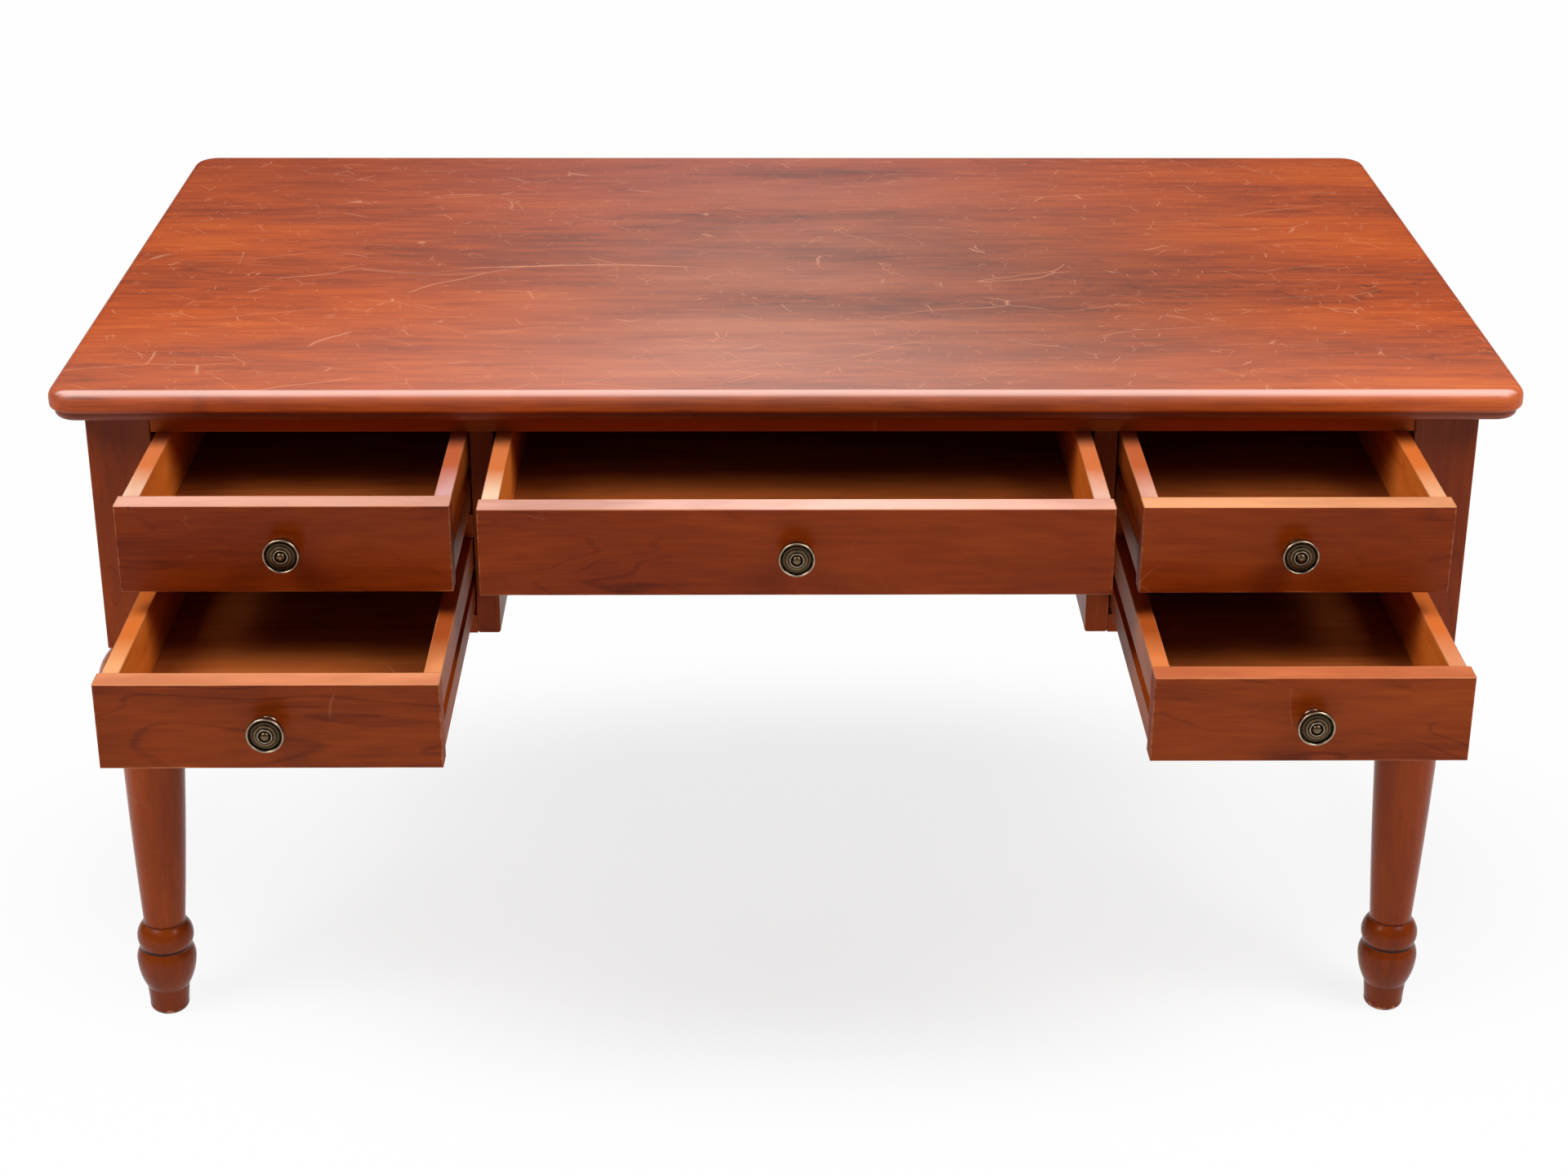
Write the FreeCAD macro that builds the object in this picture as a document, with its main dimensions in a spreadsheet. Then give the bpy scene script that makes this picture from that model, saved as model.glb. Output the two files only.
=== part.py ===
import FreeCAD, Part
import os
import re
import Sketcher

# Kneehole writing desk in stained hardwood, with five drawers standing open.
# The origin is on the floor under the middle of the whole, drawers included.
# X runs to the right, Y to the back and Z up, all in millimetres.

# Driving sizes of the desk top and of the case under it
TOP_AND_CASE = {
    "top_width": 1485,
    "top_depth": 879,
    "top_height": 762,
    "top_thickness": 32,
    "top_corner_radius": 30,
    "top_upper_thickness": 22,
    "top_upper_round": 11,
    "top_lower_round": 4,
    "top_lower_step": 5,
    "top_under_round": 7,
    "side_overhang": 32.4,
    "case_shift": -3.7,
    "front_overhang": 47,
    "back_overhang": 47,
    "top_rail_height": 26,
    "upper_opening_height": 92,
    "mid_rail_height": 25,
    "lower_opening_height": 89,
    "bottom_rail_height": 20,
    "rail_depth": 60,
    "kneehole_width": 614,
    "kneehole_shift": 10.4,
    "partition_thickness": 24,
    "partition_round": 1.2,
    "partition_foot_round": 3,
    "end_panel_thickness": 18,
    "end_panel_recess": 10,
    "back_panel_thickness": 18,
    "back_panel_recess": 8,
    "glue_block_size": 22,
    "glue_block_length": 110,
    "glue_block_inset": 70,
}

# Driving sizes of one leg: a square block above, turned members below it
LEG = {
    "leg_block": 66,
    "leg_block_drop": 18,
    "leg_edge_round": 2,
    "leg_shoulder_round": 1.5,
    "left_leg_splay": 12.5,
    "right_leg_splay": 3.8,
    "leg_overrun": 0.6,
    "toe_radius": 17.5,
    "toe_height": 9,
    "toe_bulge": 1.6,
    "foot_radius": 21.4,
    "foot_top_radius": 23.2,
    "foot_height": 31,
    "vase_radius": 32.4,
    "vase_belly_height": 63,
    "vase_low_bulge": 1.8,
    "vase_high_bulge": 1.6,
    "vase_groove_radius": 28.3,
    "vase_height": 80.5,
    "groove_width": 3,
    "ring_bulge": 4.8,
    "ring_height": 28,
    "ring_top_radius": 23.6,
    "ring_fillet": 2.5,
    "taper_low_radius": 22.8,
    "taper_bulge": 0.7,
    "taper_top_radius": 32.8,
    "cup_neck_radius": 33.4,
    "cup_neck_length": 30,
    "cup_band_radius": 37,
    "cup_band_height": 9,
    "cup_band_bulge": 2.2,
    "cup_foot_radius": 34.5,
    "cup_radius": 52.5,
    "cup_low_bulge": 5,
    "cup_low_height": 60,
    "cup_high_bulge": 6.3,
    "cup_high_height": 45,
    "collar_radius": 31,
    "collar_height": 10,
}

# Driving sizes of the drawers, their runners and how far each stands open
DRAWERS = {
    "front_thickness": 25,
    "front_side_gap": 1.2,
    "front_edge_gap": 1,
    "front_round": 1.2,
    "side_thickness": 17,
    "side_length": 600,
    "side_rise": 9.5,
    "side_round": 1.2,
    "outer_side_inset": 3.5,
    "inner_side_inset": 0.2,
    "centre_side_inset": 2.2,
    "runner_groove_drop": 34,
    "runner_groove_height": 17,
    "runner_groove_depth": 6.5,
    "runner_clearance": 0.4,
    "runner_front_gap": 0.3,
    "runner_lead": 3,
    "drawer_back_thickness": 14,
    "drawer_back_inset": 8,
    "drawer_back_drop": 5,
    "bottom_thickness": 6,
    "bottom_groove_depth": 5,
    "bottom_rise": 10,
    "upper_left_open": 196,
    "lower_left_open": 345.5,
    "centre_open": 205.5,
    "upper_right_open": 201.5,
    "lower_right_open": 335,
}

# Driving sizes of one turned brass knob and the shank that holds it
KNOB = {
    "knob_radius": 17.5,
    "knob_base_radius": 10.5,
    "knob_base_thickness": 2,
    "knob_neck_length": 13,
    "knob_neck_hollow": 5.5,
    "knob_back_radius": 15,
    "knob_back_thickness": 2.5,
    "knob_back_bulge": 0.5,
    "knob_rim_height": 4.5,
    "knob_rim_width": 1.8,
    "knob_rim_crown": 0.7,
    "knob_channel_depth": 2,
    "knob_channel_width": 2.4,
    "knob_step_rise": 1.2,
    "knob_middle_radius": 10.4,
    "knob_inner_radius": 7.1,
    "knob_button_radius": 4.3,
    "knob_button_flat_radius": 1.4,
    "knob_button_rise": 2.2,
    "knob_button_bulge": 0.6,
    "knob_lift": 1.5,
    "shank_radius": 2.5,
    "shank_length": 20,
    "shank_clearance": 0.1,
}

# Places and lengths that follow from the driving sizes
FOLLOWS = {
    "case_left": "case_shift + side_overhang - top_width / 2",
    "case_right": "case_shift - side_overhang + top_width / 2",
    "case_depth": "top_depth - front_overhang - back_overhang",
    "left_leg_inner": "case_left + leg_block",
    "right_leg_inner": "case_right - leg_block",
    "top_underside": "top_height - top_thickness",
    "top_rail_floor": "top_underside - top_rail_height",
    "upper_floor": "top_rail_floor - upper_opening_height",
    "mid_rail_floor": "upper_floor - mid_rail_height",
    "lower_floor": "mid_rail_floor - lower_opening_height",
    "case_floor": "lower_floor - bottom_rail_height",
    "case_height": "top_underside - case_floor",
    "block_floor": "case_floor - leg_block_drop",
    "kneehole_left": "case_shift + kneehole_shift - kneehole_width / 2",
    "kneehole_right": "case_shift + kneehole_shift + kneehole_width / 2",
    "left_bay_width": "kneehole_left - partition_thickness - left_leg_inner",
    "right_bay_start": "kneehole_right + partition_thickness",
    "right_bay_width": "right_leg_inner - right_bay_start",
    "knob_rim_floor": "knob_base_thickness + knob_neck_length + knob_back_thickness",
    "knob_channel_floor": "knob_rim_floor + knob_rim_height - knob_channel_depth",
    "knob_button_floor": "knob_channel_floor + 3 * knob_step_rise",
    "knob_length": "knob_button_floor + knob_button_rise",
    "widest_open": "max(upper_left_open; lower_left_open; centre_open;"
                   " upper_right_open; lower_right_open)",
    "case_front": "(widest_open + knob_length - case_depth - back_overhang) / 2",
    "case_back": "case_front + case_depth",
    "back_panel_front": "case_back - back_panel_recess - back_panel_thickness",
    "ring_floor": "vase_height + groove_width",
    "ring_top": "ring_floor + ring_height",
    "collar_floor": "block_floor - collar_height",
    "cup_belly": "collar_floor - cup_high_height",
    "cup_floor": "cup_belly - cup_low_height",
    "cup_band_floor": "cup_floor - cup_band_height",
    "taper_top": "cup_band_floor - cup_neck_length",
    "taper_floor": "ring_top + ring_fillet",
}

SIZES = {**TOP_AND_CASE, **LEG, **DRAWERS, **KNOB}

doc = FreeCAD.newDocument("Desk")
sheet = doc.addObject("Spreadsheet::Sheet", "Sizes")
for row, (alias, number) in enumerate(SIZES.items(), start=1):
    sheet.set("A%d" % row, alias)
    sheet.set("B%d" % row, str(number))
    sheet.setAlias("B%d" % row, alias)
doc.recompute()

nodes = []


# Turn a formula in plain names into one that reads the cells of the sheet
def formula(text):
    def swap(match):
        name = match.group(0)
        if name in FOLLOWS:
            return "(" + formula(FOLLOWS[name]) + ")"
        if name in SIZES:
            return "Sizes." + name
        return name
    return re.sub(r"[a-z_]+", swap, text)


# The number that a formula gives now
def number_of(text):
    result = sheet.evalExpression(formula(text))
    return float(getattr(result, "Value", result))


# Bind the place of an object's own origin to formulas
def place(thing, x, y, z):
    for axis, text in zip("xyz", (x, y, z)):
        thing.setExpression("Placement.Base." + axis, formula(text))


# A body that becomes one node of the desk
def new_body(name, x, y, z):
    body = doc.addObject("PartDesign::Body", name)
    body.Label = name
    place(body, x, y, z)
    nodes.append(body)
    return body


# A straight board that becomes one node of the desk
def board(name, x, y, z, across, deep, tall):
    box = doc.addObject("Part::Box", name)
    box.Label = name
    box.setExpression("Length", formula(across))
    box.setExpression("Width", formula(deep))
    box.setExpression("Height", formula(tall))
    place(box, x, y, z)
    nodes.append(box)
    return box


# One of the body's own origin planes
def origin_plane(body, role):
    for feature in body.Origin.OriginFeatures:
        if feature.Role == role:
            return feature
    raise ValueError(role)


# Hold one coordinate of a sketched point at a formula
def hold(sketch, kind, geo, end, text):
    if text == "0":
        axis = -2 if kind == "DistanceX" else -1
        sketch.addConstraint(Sketcher.Constraint("PointOnObject", geo, end, axis))
        return
    now = number_of(text)
    if now > 0:
        index = sketch.addConstraint(Sketcher.Constraint(kind, -1, 1, geo, end, now))
        sketch.setExpression("Constraints[%d]" % index, formula(text))
    else:
        index = sketch.addConstraint(Sketcher.Constraint(kind, geo, end, -1, 1, -now))
        sketch.setExpression("Constraints[%d]" % index, "-(" + formula(text) + ")")


# The direction of a vector in the sketch's plane, as an angle
def heading(vector):
    angle = FreeCAD.Vector(1, 0, 0).getAngle(vector)
    return angle if vector.y >= 0 else -angle


# A round line from a to b that stands out from their chord by the bulge.
# It gives the line and which of its ends lies at a and which at b.
def round_line(a, b, bulge):
    chord = b - a
    out = FreeCAD.Vector(chord.y, -chord.x, 0).normalize()
    circle = Part.Circle(a, (a + b) * 0.5 + out * bulge, b)
    upright = Part.Circle(circle.Center, FreeCAD.Vector(0, 0, 1), circle.Radius)
    first, last = (a, b) if bulge > 0 else (b, a)
    low, high = heading(first - circle.Center), heading(last - circle.Center)
    ends = (1, 2) if bulge > 0 else (2, 1)
    return Part.ArcOfCircle(upright, low, high), ends


# The radius of a round line follows its two ends and its bulge
def bind_bulge(sketch, geo, corner, after):
    run = "(%s) - (%s)" % (after[0], corner[0])
    rise = "(%s) - (%s)" % (after[1], corner[1])
    chord_squared = "((%s)^2 + (%s)^2)" % (run, rise)
    radius = "(%s / 4 + (%s)^2) / (2 * abs(%s))" % (chord_squared, corner[2], corner[2])
    index = sketch.addConstraint(Sketcher.Constraint("Radius", geo, number_of(radius)))
    sketch.setExpression("Constraints[%d]" % index, formula(radius))


# A closed outline, its corners given anticlockwise as (across, up). A third
# entry rounds the line that leaves the corner: outwards, or inwards if negative.
def outline(body, name, plane, corners, offset="0"):
    sketch = body.newObject("Sketcher::SketchObject", body.Name + "_" + name)
    sketch.AttachmentSupport = [(origin_plane(body, plane), "")]
    sketch.MapMode = "FlatFace"
    if offset != "0":
        sketch.setExpression("AttachmentOffset.Base.z", formula(offset))
    points = [FreeCAD.Vector(number_of(c[0]), number_of(c[1]), 0) for c in corners]
    lines = []
    for i, corner in enumerate(corners):
        after = points[(i + 1) % len(points)]
        if len(corner) == 3:
            line, ends = round_line(points[i], after, number_of(corner[2]))
        else:
            line, ends = Part.LineSegment(points[i], after), (1, 2)
        lines.append((sketch.addGeometry(line), *ends))
    for i, corner in enumerate(corners):
        geo, start, end = lines[i]
        next_geo, next_start, _ = lines[(i + 1) % len(lines)]
        sketch.addConstraint(
            Sketcher.Constraint("Coincident", geo, end, next_geo, next_start))
        hold(sketch, "DistanceX", geo, start, corner[0])
        hold(sketch, "DistanceY", geo, start, corner[1])
    for i, corner in enumerate(corners):
        if len(corner) == 3:
            bind_bulge(sketch, lines[i][0], corner, corners[(i + 1) % len(corners)])
    return sketch


# The corners of a plain rectangle, anticlockwise
def rectangle(left, low, right, high):
    return [(left, low), (right, low), (right, high), (left, high)]


# A rectangle about the middle with its corners rounded, anticlockwise
def rounded_rectangle(half_width, half_depth, radius):
    bulge = radius + " * (1 - sqrt(1 / 2))"
    in_x, in_y = half_width + " - " + radius, half_depth + " - " + radius
    return [
        ("-(%s)" % in_x, "-" + half_depth),
        (in_x, "-" + half_depth, bulge),
        (half_width, "-(%s)" % in_y),
        (half_width, in_y, bulge),
        (in_x, half_depth),
        ("-(%s)" % in_x, half_depth, bulge),
        ("-" + half_width, in_y),
        ("-" + half_width, "-(%s)" % in_y, bulge),
    ]


# The same corners seen from the other side of a piece of this width
def mirrored(corners, width):
    turned = []
    for x, y in reversed(corners):
        swapped = {"0": width, width: "0"}.get(x, "%s - (%s)" % (width, x))
        turned.append((swapped, y))
    return turned


# Give a sketch its thickness. A sketch on the XZ plane faces the front, so
# backwards builds it towards the back of the desk.
def pad(body, sketch, length, backwards=False):
    feature = body.newObject("PartDesign::Pad", sketch.Name + "_pad")
    feature.Profile = sketch
    feature.setExpression("Length", formula(length))
    feature.Reversed = backwards
    return feature


# Cut a sketch into the body, and make sure that it took wood away
def pocket(body, sketch, depth, backwards=False):
    doc.recompute()
    before = body.Shape.Volume
    feature = body.newObject("PartDesign::Pocket", sketch.Name + "_pocket")
    feature.Profile = sketch
    feature.setExpression("Length", formula(depth))
    feature.Reversed = backwards
    doc.recompute()
    if not body.Shape.Volume < before:
        raise RuntimeError(sketch.Name + " cuts nothing")
    return feature


# Turn a sketch about its own upright axis
def turn(body, sketch):
    feature = body.newObject("PartDesign::Revolution", sketch.Name + "_turned")
    feature.Profile = sketch
    feature.ReferenceAxis = (sketch, ["V_Axis"])
    feature.Angle = 360
    return feature


# Round the edges of the body that a test picks
def soften(body, name, radius, picks):
    doc.recompute()
    solid = body.Tip
    edges = ["Edge%d" % (i + 1) for i, e in enumerate(solid.Shape.Edges) if picks(e)]
    feature = body.newObject("PartDesign::Fillet", body.Name + "_" + name)
    feature.Base = (solid, edges)
    feature.setExpression("Radius", formula(radius))
    return feature


# Is a coordinate the same all along an edge, and is it this one
def lies_at(edge, axis, where):
    box = edge.BoundBox
    low, high = getattr(box, axis + "Min"), getattr(box, axis + "Max")
    return abs(low - where) < 0.001 and abs(high - where) < 0.001


# Does a straight edge run along one axis only
def runs_along(edge, axis):
    box = edge.BoundBox
    across = [getattr(box, other + "Length") for other in "XYZ" if other != axis]
    return isinstance(edge.Curve, Part.Line) and max(across) < 0.001


# The top: a thick board with a rounded upper edge, and a narrower lip under
# it that leaves a thin step all the way round.
def make_top():
    body = new_body("desk_top", "0",
                    "case_front + (case_depth + back_overhang - front_overhang) / 2",
                    "top_underside")
    lip = "top_thickness - top_upper_thickness"
    slab = outline(body, "slab", "XY_Plane", rounded_rectangle(
        "top_width / 2", "top_depth / 2", "top_corner_radius"), lip)
    pad(body, slab, "top_upper_thickness")
    soften(body, "upper_edge", "top_upper_round",
           lambda e: lies_at(e, "Z", number_of("top_thickness")))
    soften(body, "lower_edge", "top_lower_round",
           lambda e: lies_at(e, "Z", number_of(lip)))
    under = outline(body, "under", "XY_Plane", rounded_rectangle(
        "(top_width / 2 - top_lower_step)", "(top_depth / 2 - top_lower_step)",
        "(top_corner_radius - top_lower_step)"))
    pad(body, under, lip)
    soften(body, "under_edge", "top_under_round", lambda e: lies_at(e, "Z", 0))


# The turned outline of a leg from the floor up: a toe and a foot, a vase with
# a ring above it, a long taper, then a cup that swells out under the block.
def leg_outline():
    return [
        ("0", "0"),
        ("toe_radius", "0", "toe_bulge"),
        ("foot_radius", "toe_height"),
        ("foot_top_radius", "foot_height", "vase_low_bulge"),
        ("vase_radius", "vase_belly_height", "vase_high_bulge"),
        ("vase_groove_radius", "vase_height"),
        ("vase_groove_radius", "ring_floor", "ring_bulge"),
        ("ring_top_radius", "ring_top"),
        ("taper_low_radius", "taper_floor", "taper_bulge"),
        ("taper_top_radius", "taper_top"),
        ("cup_neck_radius", "cup_band_floor"),
        ("cup_band_radius", "cup_band_floor", "cup_band_bulge"),
        ("cup_band_radius", "cup_floor"),
        ("cup_foot_radius", "cup_floor", "cup_low_bulge"),
        ("cup_radius", "cup_belly", "cup_high_bulge"),
        ("collar_radius", "collar_floor"),
        ("collar_radius", "block_floor + collar_height"),
        ("0", "block_floor + collar_height"),
    ]


# One leg. Its turned part leans, so that the foot stands further to the right
# than the block by the lean, a formula. The foot is trimmed level with the floor.
def make_leg(name, x, y, lean):
    body = new_body(name, x, y, "0")
    turning = outline(body, "turning", "XZ_Plane", leg_outline())
    turning.AttachmentOffset.Rotation = FreeCAD.Rotation(
        FreeCAD.Vector(0, 0, 1), number_of(lean + " / block_floor"))
    turning.setExpression("AttachmentOffset.Base.x", formula(lean))
    turning.setExpression("AttachmentOffset.Base.y", formula("-leg_overrun"))
    turning.setExpression("AttachmentOffset.Rotation.Angle",
                          formula("atan(%s / block_floor)" % lean))
    turn(body, turning)
    square = rectangle("-leg_block / 2", "-leg_block / 2", "leg_block / 2", "leg_block / 2")
    pocket(body, outline(body, "floor", "XY_Plane", square), "leg_block")
    block = outline(body, "block", "XY_Plane", square, "block_floor")
    pad(body, block, "top_underside - block_floor")
    floor = number_of("block_floor")
    soften(body, "edges", "leg_edge_round",
           lambda e: runs_along(e, "Z") and e.BoundBox.ZMin > floor - 1)
    soften(body, "shoulder", "leg_shoulder_round",
           lambda e: lies_at(e, "Z", floor) and
           abs(e.CenterOfMass.x) + abs(e.CenterOfMass.y) > number_of("leg_block / 3"))


def make_legs():
    left, right = "case_left + leg_block / 2", "case_right - leg_block / 2"
    front, back = "case_front + leg_block / 2", "case_back - leg_block / 2"
    for row, y in (("front", front), ("rear", back)):
        make_leg(row + "_left_leg", left, y, "-left_leg_splay")
        make_leg(row + "_right_leg", right, y, "right_leg_splay")


# A partition on each side of the kneehole, notched at its upper front corner
# for the top rail, its front edge showing as a post between the drawers.
def make_partitions():
    for side, x in (("left", "kneehole_left - partition_thickness"),
                    ("right", "kneehole_right")):
        body = new_body(side + "_partition", x, "case_front", "case_floor")
        shape = outline(body, "shape", "YZ_Plane", [
            ("0", "0"),
            ("case_depth", "0"),
            ("case_depth", "case_height"),
            ("rail_depth", "case_height"),
            ("rail_depth", "case_height - top_rail_height"),
            ("0", "case_height - top_rail_height"),
        ])
        pad(body, shape, "partition_thickness")
        soften(body, "feet", "partition_foot_round",
               lambda e: runs_along(e, "Y") and lies_at(e, "Z", 0))
        soften(body, "edges", "partition_round",
               lambda e: runs_along(e, "Z") and lies_at(e, "Y", 0))


# The bays between the legs and the partitions, as where each starts and its width
BAYS = {
    "left": ("left_leg_inner", "left_bay_width"),
    "centre": ("kneehole_left", "kneehole_width"),
    "right": ("right_bay_start", "right_bay_width"),
}


# Front rails flush with the leg blocks, and panels at the ends and the back
def make_rails_and_panels():
    board("front_top_rail", "left_leg_inner", "case_front", "top_rail_floor",
          "right_leg_inner - left_leg_inner", "rail_depth", "top_rail_height")
    for bay, (x, width) in BAYS.items():
        board(bay + "_mid_rail", x, "case_front", "mid_rail_floor",
              width, "rail_depth", "mid_rail_height")
        floor = "mid_rail_floor" if bay == "centre" else "case_floor"
        board(bay + "_back_panel", x, "back_panel_front", floor,
              width, "back_panel_thickness", "top_underside - " + floor)
    for bay in ("left", "right"):
        x, width = BAYS[bay]
        board(bay + "_bottom_rail", x, "case_front", "case_floor",
              width, "rail_depth", "bottom_rail_height")
    for side, x in (("left", "case_left + end_panel_recess"),
                    ("right", "case_right - end_panel_recess - end_panel_thickness")):
        board(side + "_end_panel", x, "case_front + leg_block", "case_floor",
              "end_panel_thickness", "case_depth - 2 * leg_block", "case_height")


# Six glue blocks that hold the top to the end panels and the centre back panel
def make_glue_blocks():
    inset = "end_panel_recess + end_panel_thickness"
    front = "case_front + leg_block + glue_block_inset"
    back = "case_back - leg_block - glue_block_inset - glue_block_length"
    size, length = "glue_block_size", "glue_block_length"
    left, right = "case_left + " + inset, "case_right - (%s) - %s" % (inset, size)
    spots = [(x, y, size, length) for x in (left, right) for y in (front, back)]
    behind = "back_panel_front - " + size
    spots += [("kneehole_left + glue_block_inset", behind, length, size),
              ("kneehole_right - glue_block_inset - " + length, behind, length, size)]
    blocks = []
    for number, (x, y, across, deep) in enumerate(spots, start=1):
        block = board("glue_block_%d" % number, x, y, "top_underside - " + size,
                      across, deep, size)
        nodes.remove(block)
        blocks.append(block)
    group = doc.addObject("Part::Compound", "glue_blocks")
    group.Label = "glue_blocks"
    group.Links = blocks
    nodes.append(group)


# The section of a drawer side, its outer face at x = 0: a groove outside that
# slides on the runner, and a groove inside that holds the drawer bottom.
def side_section(height):
    shallow = "side_thickness - bottom_groove_depth"
    groove_top = height + " - runner_groove_drop"
    groove_floor = groove_top + " - runner_groove_height"
    return [
        ("0", "0"),
        ("side_thickness", "0"),
        ("side_thickness", "bottom_rise"),
        (shallow, "bottom_rise"),
        (shallow, "bottom_rise + bottom_thickness"),
        ("side_thickness", "bottom_rise + bottom_thickness"),
        ("side_thickness", height),
        ("0", height),
        ("0", groove_top),
        ("runner_groove_depth", groove_top),
        ("runner_groove_depth", groove_floor),
        ("0", groove_floor),
    ]


# The turned outline of a knob from the end of its shank up: a base, a hollow
# neck, a rim with a channel inside it, and steps that rise to a centre button.
def knob_outline():
    rim_inside = "knob_radius - knob_rim_width"
    outer_step = rim_inside + " - knob_channel_width"
    rim_top = "knob_rim_floor + knob_rim_height"
    steps = ["knob_channel_floor + %d * knob_step_rise" % n for n in (1, 2, 3)]
    return [
        ("0", "-shank_length"),
        ("shank_radius", "-shank_length"),
        ("shank_radius", "0"),
        ("knob_base_radius", "0"),
        ("knob_base_radius", "knob_base_thickness", "-knob_neck_hollow"),
        ("knob_back_radius", "knob_base_thickness + knob_neck_length", "knob_back_bulge"),
        ("knob_radius", "knob_rim_floor"),
        ("knob_radius", rim_top, "knob_rim_crown"),
        (rim_inside, rim_top),
        (rim_inside, "knob_channel_floor"),
        (outer_step, "knob_channel_floor"),
        (outer_step, steps[0]),
        ("knob_middle_radius", steps[0]),
        ("knob_middle_radius", steps[1]),
        ("knob_inner_radius", steps[1]),
        ("knob_inner_radius", steps[2]),
        ("knob_button_radius", steps[2], "knob_button_bulge"),
        ("knob_button_flat_radius", "knob_length"),
        ("0", "knob_length"),
    ]


# A drawer front: grooved at the back for the bottom and bored for the knob
def make_front(name, x, y, z, width, height, bottom_start, bottom_width):
    body = new_body(name + "_front", x, y, z)
    face = outline(body, "face", "XZ_Plane", rectangle("0", "0", width, height))
    pad(body, face, "front_thickness", backwards=True)
    groove = outline(body, "groove", "XZ_Plane", rectangle(
        bottom_start, "side_rise + bottom_rise",
        bottom_start + " + " + bottom_width, "side_rise + bottom_rise + bottom_thickness"),
        "-front_thickness")
    pocket(body, groove, "bottom_groove_depth", backwards=True)
    bore = body.newObject("Sketcher::SketchObject", body.Name + "_bore")
    bore.AttachmentSupport = [(origin_plane(body, "XZ_Plane"), "")]
    bore.MapMode = "FlatFace"
    middle = (width + " / 2", height + " / 2 + knob_lift")
    radius = "shank_radius + shank_clearance"
    centre = FreeCAD.Vector(number_of(middle[0]), number_of(middle[1]), 0)
    circle = Part.Circle(centre, FreeCAD.Vector(0, 0, 1), number_of(radius))
    geo = bore.addGeometry(circle)
    hold(bore, "DistanceX", geo, 3, middle[0])
    hold(bore, "DistanceY", geo, 3, middle[1])
    index = bore.addConstraint(Sketcher.Constraint("Radius", geo, number_of(radius)))
    bore.setExpression("Constraints[%d]" % index, formula(radius))
    pocket(body, bore, "shank_length + shank_clearance")
    soften(body, "edges", "front_round",
           lambda e: isinstance(e.Curve, Part.Line) and lies_at(e, "Y", 0))


# One side of a drawer, made from its section and run to the back
def make_side(name, side, x, y, z, height):
    body = new_body("%s_%s_side" % (name, side), x, y, z)
    section = side_section(height)
    if side == "right":
        section = mirrored(section, "side_thickness")
    pad(body, outline(body, "section", "XZ_Plane", section), "side_length", backwards=True)
    soften(body, "edges", "side_round",
           lambda e: runs_along(e, "Y") and lies_at(e, "Z", number_of(height)))


# A knob on the middle of its drawer front, its axis turned to the front
def make_knob(name, x, y, z):
    body = new_body(name + "_knob", x, y, z)
    body.Placement.Rotation = FreeCAD.Rotation(FreeCAD.Vector(1, 0, 0), 90)
    turn(body, outline(body, "turning", "XZ_Plane", knob_outline()))


# A wooden runner for one side of a drawer, fixed to the wall of its bay.
# Its front end is tapered so that the drawer's groove finds it.
def make_runner(name, side, x, z, thickness):
    body = new_body("%s_%s_runner" % (name, side), x,
                    "case_front + front_thickness + runner_front_gap", z)
    height = "runner_groove_height - 2 * runner_clearance"
    length = "back_panel_front - case_front - front_thickness - runner_front_gap"
    shape = outline(body, "shape", "YZ_Plane", [
        ("0", "runner_lead"),
        ("runner_lead", "0"),
        (length, "0"),
        (length, height),
        ("runner_lead", height),
        ("0", height + " - runner_lead"),
    ])
    pad(body, shape, thickness)


# A whole drawer with its two runners. The insets say how far each side stands
# in from the end of the front.
def make_drawer(name, bay, floor, opening, opened, left_inset, right_inset):
    bay_start, bay_width = BAYS[bay]
    front_height = "(%s - 2 * front_edge_gap)" % opening
    front_width = "(%s - 2 * front_side_gap)" % bay_width
    front_x = "(%s + front_side_gap)" % bay_start
    front_y = "(case_front - %s)" % opened
    front_z = "(%s + front_edge_gap)" % floor
    behind_front = front_y + " + front_thickness"
    side_height = "(%s - side_rise)" % front_height
    side_z = front_z + " + side_rise"
    inner_start = left_inset + " + side_thickness"
    inner_width = "(%s - %s - %s - 2 * side_thickness)" % (
        front_width, left_inset, right_inset)
    bottom_start = inner_start + " - bottom_groove_depth"
    bottom_width = inner_width + " + 2 * bottom_groove_depth"
    make_front(name, front_x, front_y, front_z, front_width, front_height,
               bottom_start, bottom_width)
    right_side_x = "%s + %s - %s - side_thickness" % (front_x, front_width, right_inset)
    make_side(name, "left", front_x + " + " + left_inset, behind_front, side_z, side_height)
    make_side(name, "right", right_side_x, behind_front, side_z, side_height)
    board(name + "_back", front_x + " + " + inner_start,
          behind_front + " + side_length - drawer_back_inset - drawer_back_thickness",
          side_z + " + bottom_rise + bottom_thickness",
          inner_width, "drawer_back_thickness",
          side_height + " - bottom_rise - bottom_thickness - drawer_back_drop")
    board(name + "_bottom", front_x + " + " + bottom_start,
          behind_front + " - bottom_groove_depth", side_z + " + bottom_rise",
          bottom_width, "side_length + bottom_groove_depth - drawer_back_inset",
          "bottom_thickness")
    make_knob(name, front_x + " + " + front_width + " / 2", front_y,
              front_z + " + " + front_height + " / 2 + knob_lift")
    runner_z = "%s + %s - runner_groove_drop - runner_groove_height + runner_clearance" % (
        side_z, side_height)
    reach = "(front_side_gap + %s + runner_groove_depth - runner_clearance)"
    make_runner(name, "left", bay_start, runner_z, reach % left_inset)
    make_runner(name, "right", "%s + %s - %s" % (bay_start, bay_width, reach % right_inset),
                runner_z, reach % right_inset)


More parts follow.
